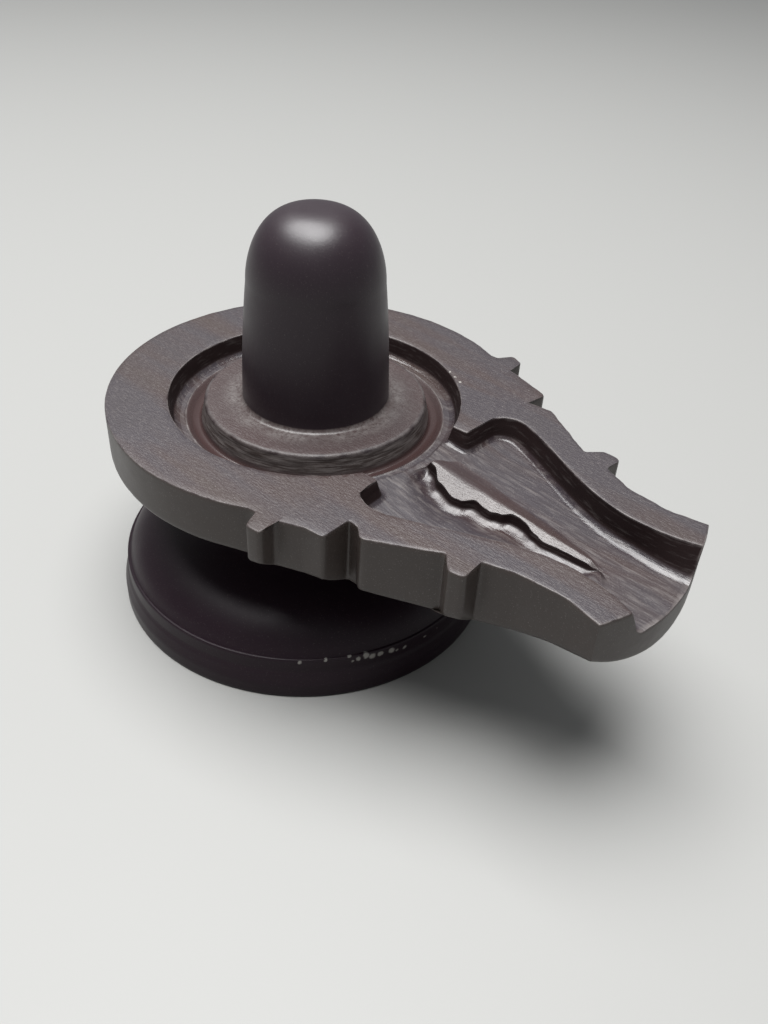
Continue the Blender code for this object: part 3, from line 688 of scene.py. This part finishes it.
class Shell:
    """Vertices, masks and faces of the pieces of one surface, welded at the end."""

    def __init__(self):
        self.points, self.masks, self.faces, self.count = [], [], [], 0

    def add(self, grid, masks, closed):
        """Adds a grid and its quads, and returns the index of its first vertex."""
        start = self.count
        block = masks if isinstance(masks, np.ndarray) else mask_grid(masks, grid.shape[:2])
        self.points.append(grid.reshape(-1, 3))
        self.masks.append(block.reshape(-1, len(MASKS)))
        self.faces.append(start + grid_faces(grid.shape[0], grid.shape[1], closed))
        self.count += grid.shape[0] * grid.shape[1]
        return start

    def stitch(self, upper, lower):
        """Quads between two rings of equal length, given as vertex indices."""
        self.faces.append(np.column_stack([upper, np.roll(upper, -1), np.roll(lower, -1), lower]))

    def welded(self):
        """Points, masks, quads and triangles after equal points are welded."""
        points, masks = np.vstack(self.points), np.vstack(self.masks)
        keys = np.round(points / WELD).astype(np.int64)
        _, first, weld = np.unique(keys, axis=0, return_index=True, return_inverse=True)
        faces = weld.reshape(-1)[np.vstack(self.faces)]
        same = faces == np.roll(faces, -1, axis=1)
        crossed = (faces[:, 0] == faces[:, 2]) | (faces[:, 1] == faces[:, 3])
        quads = faces[(same.sum(axis=1) == 0) & ~crossed]
        lean = (same.sum(axis=1) == 1) & ~crossed
        triangles = faces[lean][~same[lean]].reshape(-1, 3)
        return points[first], masks[first], quads, triangles


def lattice(cell):
    """Repeatable random value from 0 to 1 for each whole-number cell (x, y, z)."""
    mixed = cell[..., 0] * 73856093 ^ cell[..., 1] * 19349663 ^ cell[..., 2] * 83492791
    mixed = (mixed ^ (mixed >> 13)) * 1274126177 & 0x7FFFFFFF
    return ((mixed ^ (mixed >> 16)) & 0xFFFF) / 65535.0


def noise(points, size):
    """Value noise from -1 to 1: lattice values at cells of the given size, eased between corners."""
    place = points / size + 1000.0
    cell = np.floor(place).astype(np.int64)
    share = ease(place - cell)
    total = np.zeros(len(points))
    for corner in range(8):
        step = np.array([(corner >> bit) & 1 for bit in range(3)])
        weight = np.prod(np.where(step, share, 1 - share), axis=1)
        total += weight * lattice(cell + step)
    return 2 * total - 1


def vertex_normals(points, quads, triangles):
    """Area-weighted vertex normals."""
    normals = np.zeros_like(points)
    for faces, diagonal in ((quads, (0, 2, 1, 3)), (triangles, (0, 1, 0, 2))):
        a, b, c, d = (points[faces[:, index]] for index in diagonal)
        face = np.cross(b - a, d - c)
        for column in range(faces.shape[1]):
            np.add.at(normals, faces[:, column], face)
    return normals / np.maximum(np.linalg.norm(normals, axis=1), 1e-12)[:, None]


def carve(shell, sizes):
    """Moves the welded points along their normals: a slow hand-made wobble and short tool marks."""
    points, masks, quads, triangles = shell.welded()
    normals = vertex_normals(points, quads, triangles)
    mask = {name: masks[:, index] for index, name in enumerate(MASKS)}
    slow = noise(points, 0.016) + 0.5 * noise(points + 0.3, 0.007)
    quick = noise(points * (1, 1, 1.7) + 0.7, 0.0022) + 0.6 * noise(points + 0.9, 0.0011)
    layers = noise(points * (0.22, 0.22, 1.6) + 0.5, 0.0011)
    rough = 0.2 * mask["matt"] + 0.4 * mask["side"] + 0.25 * mask["pool"] + 1.4 * mask["edge"]
    rough = rough + 0.05 * mask["polish"]
    cut = 1.8 * mask["chisel"] + 0.8 * mask["wall"]
    calm = ease((points[:, 2] - 0.0005) / 0.004)
    move = sizes.wobble * slow * (0.5 + 0.5 * mask["side"])
    move = move + sizes.tool_mark * (quick * rough + layers * cut)
    return points + normals * (move * calm)[:, None], masks, quads, triangles


def build_mesh(name, points, masks, quads, triangles):
    """Closed mesh with its finish masks as attributes and its faces outward."""
    data = bpy.data.meshes.new(name)
    data.from_pydata(points.tolist(), [], quads.tolist() + triangles.tolist())
    solid = bmesh.new()
    solid.from_mesh(data)
    open_edges = sum(1 for edge in solid.edges if len(edge.link_faces) != 2)
    if open_edges:
        raise RuntimeError(f"{name} has {open_edges} edges without two faces")
    bmesh.ops.recalc_face_normals(solid, faces=solid.faces)
    solid.to_mesh(data)
    solid.free()
    for index, mask in enumerate(MASKS):
        layer = data.attributes.new(mask, "FLOAT", "POINT")
        layer.data.foreach_set("value", masks[:, index].astype(np.float32))
    data.shade_smooth()
    data.set_sharp_from_angle(angle=math.radians(46.0))
    data.update()
    return data


def stone_shell():
    """The whole stone as one shell: lingam and disc, the plate's two halves, sides, underside and foot."""
    outlines = {1: half_outline(FAR_TEETH), -1: half_outline(NEAR_TEETH)}
    outline_at = [staged(points, outline_stations(points), STATIONS)[58:] for points in outlines.values()]
    parameter = columns(outline_at)
    far, far_masks = half_top(1, FAR_TEETH, parameter)
    near, near_masks = half_top(-1, NEAR_TEETH, parameter)
    shell = Shell()
    ring = ring_of(far, near)
    normals = right_normals(ring[:, :2], closed=True)
    count, rows = len(parameter), far.shape[0]
    soften_ring(far, ring, normals, count - 1, False)
    soften_ring(near, ring, normals, count + rows - 2, True)
    blocks = []
    for grid, masks in ((far, far_masks), (near, near_masks)):
        block = mask_grid(masks, grid.shape[:2])
        block[:, -1, MASKS.index("edge")] = 1.0
        blocks.append(block)
        shell.add(grid, block, False)
    on_ring = parameter <= inner_stations()[2] + 1e-9
    angles = []
    for grid, order in ((far, 1), (near, -1)):
        first = grid[0, on_ring]
        angles.append(np.arctan2(first[:, 1] - LINGAM_AXIS[1], first[:, 0] - LINGAM_AXIS[0])[::order])
    angle = np.concatenate([angles[0], angles[1][1:-1]])
    profile, masks = lingam_profile()
    turned = turned_grid(profile, LINGAM_AXIS, angle, TOP)
    turned[-1] = np.concatenate([far[0, on_ring], near[0, on_ring][::-1][1:-1]])
    shell.add(turned, masks, True)

    top_ring = ring_of(far, near)
    skirt, masks, angle = side_and_belly(ring, normals)
    start = shell.add(skirt, masks, True)
    shell.points.append(top_ring)
    shell.masks.append(ring_of(*blocks))
    upper = shell.count
    shell.count += len(ring)
    index = np.arange(len(ring))
    shell.stitch(upper + index, start + index)
    neck = start + (skirt.shape[0] - 1) * len(ring)

    around = -2 * math.pi * np.arange(FOOT_COLUMNS) / FOOT_COLUMNS
    profile, masks = foot_profile()
    foot = turned_grid(profile, FOOT_AXIS, around, 0.0)
    start = shell.add(foot, masks, True)
    nearest = np.round(-angle / (2 * math.pi) * FOOT_COLUMNS).astype(int) % FOOT_COLUMNS
    shell.stitch(neck + index, start + nearest)
    return shell


def nodes_of(material):
    """Node tree of a material and a helper that adds a node with settings and links by socket name."""
    material.use_nodes = True
    tree = material.node_tree
    tree.nodes.clear()

    def add(kind, settings=None, **inputs):
        node = tree.nodes.new(kind)
        for key, value in (settings or {}).items():
            setattr(node, key, value)
        for key, value in inputs.items():
            numbered = key[0] == "i" and key[1:].isdigit()
            socket = node.inputs[int(key[1:]) if numbered else key.replace("_", " ")]
            if isinstance(value, bpy.types.NodeSocket):
                tree.links.new(value, socket)
            else:
                socket.default_value = value
        return node

    return tree, add


def stone_material(look):
    """Dark stone: polished and near black where rubbed, matt and brownish grey where scratched."""
    material = bpy.data.materials.new("dark_stone")
    tree, add = nodes_of(material)
    place = add("ShaderNodeTexCoord").outputs["Object"]

    def mask(name):
        return add("ShaderNodeAttribute", {"attribute_name": name}).outputs["Fac"]

    def grain(scale, detail=4.0, rough=0.6, vector=None, distortion=0.0):
        node = add("ShaderNodeTexNoise", Vector=vector or place, Scale=scale, Detail=detail,
                   Roughness=rough, Distortion=distortion)
        return node.outputs["Fac"]

    def remap(value, low, high, first=0.0, last=1.0):
        return add("ShaderNodeMapRange", Value=value, From_Min=low, From_Max=high, To_Min=first,
                   To_Max=last).outputs["Result"]

    def math_node(kind, first, second, clamped=False):
        settings = {"operation": kind, "use_clamp": clamped}
        return add("ShaderNodeMath", settings, i0=first, i1=second).outputs[0]

    def blend(share, first, second, kind="MIX"):
        settings = {"data_type": "RGBA", "blend_type": kind}
        node = add("ShaderNodeMix", settings, i0=share, i6=first, i7=second)
        return node.outputs[2]

    def blend_value(share, first, second):
        return add("ShaderNodeMix", {"data_type": "FLOAT"}, i0=share, i2=first, i3=second).outputs[0]

    stretched = add("ShaderNodeMapping", Vector=place, Scale=(0.16, 1.0, 1.0)).outputs[0]
    scratched = add("ShaderNodeMapping", Vector=place, Rotation=(0.0, 0.0, 0.6),
                    Scale=(0.3, 1.0, 1.0)).outputs[0]
    layered = add("ShaderNodeMapping", Vector=place, Scale=(0.12, 0.12, 1.0)).outputs[0]
    stroked = add("ShaderNodeMapping", Vector=place, Scale=(0.06, 0.06, 1.0)).outputs[0]
    cloudy = grain(45.0, 5.0)
    speck = grain(1400.0, 3.0)
    streak = grain(900.0, 4.0, vector=stretched)
    scratch = grain(2400.0, 5.0, vector=scratched)

    matt = mask("matt")
    open_face = math_node("ADD", matt, mask("pool"), True)
    base = blend(open_face, look.polished_colour, look.matt_colour)
    hue = grain(70.0, 3.0, vector=stretched)
    share = math_node("MULTIPLY", remap(hue, 0.46, 0.57), math_node("MULTIPLY", open_face, 0.75))
    base = blend(share, base, look.purple_colour)
    base = blend(math_node("MULTIPLY", remap(hue, 0.48, 0.38), math_node("MULTIPLY", open_face, 0.7)), base,
                 look.brown_colour)
    base = blend(mask("turned"), base, look.turned_colour)
    # Painted highlight: the ridge's near slope is lightened with speckles of the worn colour
    share = math_node("MULTIPLY", mask("ridge"), remap(grain(2600.0, 2.0), 0.36, 0.5, 0.2, 0.85))
    base = blend(share, base, look.wear_and_highlight_colour)
    base = blend(mask("side"), base, look.side_colour)
    patch = math_node("MULTIPLY", remap(cloudy, 0.4, 0.75, 0.0, 0.5), open_face)
    base = blend(patch, base, look.cloud_colour)
    fleck = remap(grain(3200.0, 2.0), 0.63, 0.71, 0.0, 0.8)
    fleck_area = math_node("ADD", open_face, mask("side"), True)
    fleck_area = math_node("ADD", fleck_area, math_node("MULTIPLY", mask("polish"), 0.35), True)
    fleck = math_node("MULTIPLY", fleck, fleck_area)
    base = blend(fleck, base, look.wear_and_highlight_colour)
    lines = math_node("MULTIPLY", remap(streak, 0.5, 0.75, 0.0, 0.7), mask("streak"))
    base = blend(lines, base, look.wear_and_highlight_colour)
    lines = math_node("MULTIPLY", remap(scratch, 0.5, 0.75, 0.0, 0.35), matt)
    base = blend(lines, base, look.wear_and_highlight_colour)
    # Painted shade: the carved walls of pool, channel and ridge are darkened with the wall colour
    base = blend(mask("wall"), base, look.wall_shade_colour)
    layers = grain(1500.0, 4.0, vector=layered)
    lines = math_node("MULTIPLY", remap(layers, 0.54, 0.75, 0.0, 0.35), mask("wall"))
    base = blend(lines, base, look.wear_and_highlight_colour)
    base = blend(math_node("MULTIPLY", mask("chisel"), 0.8), base, look.side_colour)
    strokes = grain(3200.0, 4.0, vector=stroked)
    lines = math_node("MULTIPLY", remap(strokes, 0.42, 0.62, 0.0, 0.9), mask("chisel"))
    base = blend(lines, base, look.wear_and_highlight_colour)
    worn = math_node("MULTIPLY", mask("edge"), remap(grain(260.0, 3.0), 0.35, 0.6))
    base = blend(worn, base, look.wear_and_highlight_colour)
    scraped = remap(grain(170.0, 2.0), 0.38, 0.6, 0.4)
    scraped = math_node("MULTIPLY", remap(grain(1300.0, 4.0), 0.3, 0.56), scraped)
    scraped = math_node("MULTIPLY", mask("halo"), scraped)
    base = blend(scraped, base, look.wear_and_highlight_colour)

    ragged = add("ShaderNodeTexNoise", Vector=place, Scale=900.0, Detail=2.0).outputs["Color"]
    ragged = add("ShaderNodeVectorMath", {"operation": "SCALE"}, Vector=ragged, Scale=0.0008).outputs[0]
    shaken = add("ShaderNodeVectorMath", {"operation": "ADD"}, i0=place, i1=ragged).outputs[0]
    residue = 0.0
    for *spot, radius in SPOTS:
        centre = [value + 0.0004 for value in spot]
        apart = add("ShaderNodeVectorMath", {"operation": "DISTANCE"}, i0=shaken, i1=centre)
        residue = math_node("MAXIMUM", residue, remap(apart.outputs["Value"], radius, 0.6 * radius))
    base = blend(math_node("MULTIPLY", residue, 0.75), base, look.residue_colour)

    rough = blend_value(open_face, look.polished_roughness, look.matt_roughness)
    rough = blend_value(mask("side"), rough, 0.42)
    rough = blend_value(mask("ridge"), rough, 0.33)
    rough = blend_value(mask("gloss"), rough, 0.26)
    rough = blend_value(mask("wall"), rough, 0.55)
    rough = math_node("ADD", rough, remap(cloudy, 0.3, 0.7, -0.05, 0.07), True)

    relief = blend_value(mask("streak"), remap(scratch, 0.3, 0.7), remap(streak, 0.3, 0.7))
    relief = math_node("ADD", relief, math_node("MULTIPLY", speck, 0.5))
    strength = blend_value(open_face, 0.06, 0.5)
    bump = add("ShaderNodeBump", Height=relief, Strength=strength, Distance=0.00012)
    shine = blend_value(mask("foot"), 0.5, 0.2)
    shine = blend_value(mask("wall"), shine, 0.12)
    shader = add("ShaderNodeBsdfPrincipled", Base_Color=base, Roughness=rough, Normal=bump.outputs[0])
    tree.links.new(shine, shader.inputs["Specular IOR Level"])
    shader.inputs["IOR"].default_value = 1.50
    output = add("ShaderNodeOutputMaterial")
    tree.links.new(shader.outputs[0], output.inputs["Surface"])
    return material


def colour(name, description, value):
    """Property that holds a colour."""
    return bpy.props.FloatVectorProperty(
        name=name, description=description, subtype="COLOR", size=4, default=value, min=0.0, max=1.0)


class LINGAM_PG_stone(bpy.types.PropertyGroup):
    """Sizes and colours of the carved stone."""

    wobble: bpy.props.FloatProperty(
        name="Wobble", description="Slow unevenness of the hand-carved surfaces",
        default=0.00010, min=0.0, max=0.001, unit="LENGTH", precision=5)
    tool_mark: bpy.props.FloatProperty(
        name="Tool Marks", description="Depth of the short chisel and file marks",
        default=0.00007, min=0.0, max=0.0005, unit="LENGTH", precision=5)
    polished_colour: colour(
        "Polished", "Stone where hands have rubbed it smooth", (0.0105, 0.0046, 0.0082, 1.0))
    matt_colour: colour(
        "Matt", "Finely scratched stone on top", (0.0265, 0.0160, 0.0162, 1.0))
    turned_colour: colour(
        "Turned", "Brown stone in the pool's groove and on the disc", (0.0300, 0.0165, 0.0160, 1.0))
    # Painted shade: dark colour laid on the carved walls where shade falls in the carving
    wall_shade_colour: colour(
        "Wall", "Painted shade on the carved walls", (0.0110, 0.0062, 0.0062, 1.0))
    purple_colour: colour(
        "Purple", "Cooler streaks in the stone's open faces", (0.0220, 0.0185, 0.0235, 1.0))
    brown_colour: colour(
        "Brown", "Warmer streaks in the stone's open faces", (0.0280, 0.0165, 0.0135, 1.0))
    side_colour: colour(
        "Side", "Satin stone on the plate's side", (0.0280, 0.0205, 0.0175, 1.0))
    cloud_colour: colour(
        "Cloud", "Slow patches in the stone", (0.0130, 0.0085, 0.0095, 1.0))
    wear_and_highlight_colour: colour(
        "Worn", "Scratches, nicks, rubbed edges and a painted highlight on the ridge", (0.0950, 0.0830, 0.0800, 1.0))
    residue_colour: colour(
        "Residue", "Dried pale residue on the foot's rim", (0.2600, 0.2500, 0.2300, 1.0))
    polished_roughness: bpy.props.FloatProperty(
        name="Polished Roughness", description="Roughness where rubbed smooth",
        default=0.39, min=0.0, max=1.0, subtype="FACTOR")
    matt_roughness: bpy.props.FloatProperty(
        name="Matt Roughness", description="Roughness where finely scratched",
        default=0.50, min=0.0, max=1.0, subtype="FACTOR")


class LINGAM_PG_stage(bpy.types.PropertyGroup):
    """Camera, lights and floor of the studio."""

    camera_place: bpy.props.FloatVectorProperty(
        name="Camera", description="Where the camera stands", subtype="TRANSLATION", size=3,
        default=(0.14591, -0.14178, 0.17324))
    camera_right: bpy.props.FloatVectorProperty(
        name="Camera Right", description="Direction of the picture's right side", subtype="DIRECTION", size=3,
        default=(0.73558, 0.67595, 0.04536))
    camera_up: bpy.props.FloatVectorProperty(
        name="Camera Up", description="Direction of the picture's top", subtype="DIRECTION", size=3,
        default=(-0.43781, 0.42320, 0.79325))
    focal_length: bpy.props.FloatProperty(
        name="Focal Length", description="Lens length in millimetres", default=33.40, min=10.0, max=200.0)
    floor_colour: colour(
        "Floor", "Colour of the plain floor", (0.235, 0.235, 0.228, 1.0))
    surround: bpy.props.FloatProperty(
        name="Surround", description="Brightness of the soft light all round", default=0.36, min=0.0, max=5.0)
    ceiling: bpy.props.FloatProperty(
        name="Ceiling", description="Power of the broad soft light overhead", default=36.0, min=0.0,
        max=200.0, unit="POWER")
    lamp: bpy.props.FloatProperty(
        name="Lamp", description="Power of the brighter lamp in its middle", default=2.4, min=0.0, max=100.0,
        unit="POWER")


class LINGAM_OT_stone(bpy.types.Operator):
    """Carve the stone as one closed surface and give it its finish"""

    bl_idname = "lingam.stone"
    bl_label = "Carved Stone"

    def execute(self, context):
        look = context.scene.lingam_stone
        data = build_mesh("carved_stone", *carve(stone_shell(), look))
        piece = bpy.data.objects.new("carved_stone", data)
        context.scene.collection.objects.link(piece)
        data.materials.append(stone_material(look))
        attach(piece, "root")
        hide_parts(NODE)
        return {"FINISHED"}


class LINGAM_OT_stage(bpy.types.Operator):
    """Set the plain floor, the soft lights and the camera"""

    bl_idname = "lingam.stage"
    bl_label = "Studio"

    def execute(self, context):
        stage = context.scene.lingam_stage
        scene = context.scene
        half = 1.6
        data = bpy.data.meshes.new("floor")
        data.from_pydata([(-half, -half, 0), (half, -half, 0), (half, half, 0), (-half, half, 0)], [],
                         [(0, 1, 2, 3)])
        floor = bpy.data.objects.new("floor", data)
        scene.collection.objects.link(floor)
        paint = bpy.data.materials.new("floor_paint")
        paint.use_nodes = True
        shader = paint.node_tree.nodes["Principled BSDF"]
        shader.inputs["Base Color"].default_value = stage.floor_colour
        shader.inputs["Roughness"].default_value = 0.6
        data.materials.append(paint)

        world = bpy.data.worlds.new("studio")
        world.use_nodes = True
        sky = world.node_tree.nodes["Background"]
        sky.inputs["Color"].default_value = (0.96, 0.98, 1.0, 1.0)
        sky.inputs["Strength"].default_value = stage.surround
        scene.world = world
        for name, power, size, place in (("ceiling", stage.ceiling, CEILING_SIZE, CEILING_PLACE),
                                         ("lamp", stage.lamp, LAMP_SIZE, LAMP_PLACE)):
            lamp = bpy.data.lights.new(name, "AREA")
            lamp.shape = "ELLIPSE"
            lamp.size, lamp.size_y = size
            lamp.energy = power
            light = bpy.data.objects.new(name, lamp)
            light.location = place
            scene.collection.objects.link(light)
        scene.view_settings.view_transform = "Standard"

        lens = bpy.data.cameras.new("camera")
        lens.sensor_width = 36.0
        lens.sensor_fit = "AUTO"
        lens.lens = stage.focal_length
        lens.clip_start = 0.01
        camera = bpy.data.objects.new("camera", lens)
        right, up = Vector(stage.camera_right), Vector(stage.camera_up)
        turn = Matrix((right, up, right.cross(up))).transposed().to_4x4()
        camera.matrix_world = Matrix.Translation(Vector(stage.camera_place)) @ turn
        scene.collection.objects.link(camera)
        scene.camera = camera
        return {"FINISHED"}


class LINGAM_PT_panel(bpy.types.Panel):
    """Lists the pieces and their sizes"""

    bl_idname = "LINGAM_PT_panel"
    bl_label = "Shiva Lingam"
    bl_space_type = "VIEW_3D"
    bl_region_type = "UI"
    bl_category = "Lingam"

    def draw(self, context):
        for operator, group in ((LINGAM_OT_stone, context.scene.lingam_stone),
                                (LINGAM_OT_stage, context.scene.lingam_stage)):
            box = self.layout.box()
            box.operator(operator.bl_idname)
            for name in group.__annotations__:
                box.prop(group, name)


CLASSES = (LINGAM_PG_stone, LINGAM_PG_stage, LINGAM_OT_stone, LINGAM_OT_stage, LINGAM_PT_panel)


def register():
    for item in CLASSES:
        bpy.utils.register_class(item)
    bpy.types.Scene.lingam_stone = bpy.props.PointerProperty(type=LINGAM_PG_stone)
    bpy.types.Scene.lingam_stage = bpy.props.PointerProperty(type=LINGAM_PG_stage)


def unregister():
    del bpy.types.Scene.lingam_stage
    del bpy.types.Scene.lingam_stone
    for item in reversed(CLASSES):
        bpy.utils.unregister_class(item)


def main():
    register()
    bpy.ops.lingam.stone()
    bpy.ops.lingam.stage()


if __name__ == "__main__":
    main()
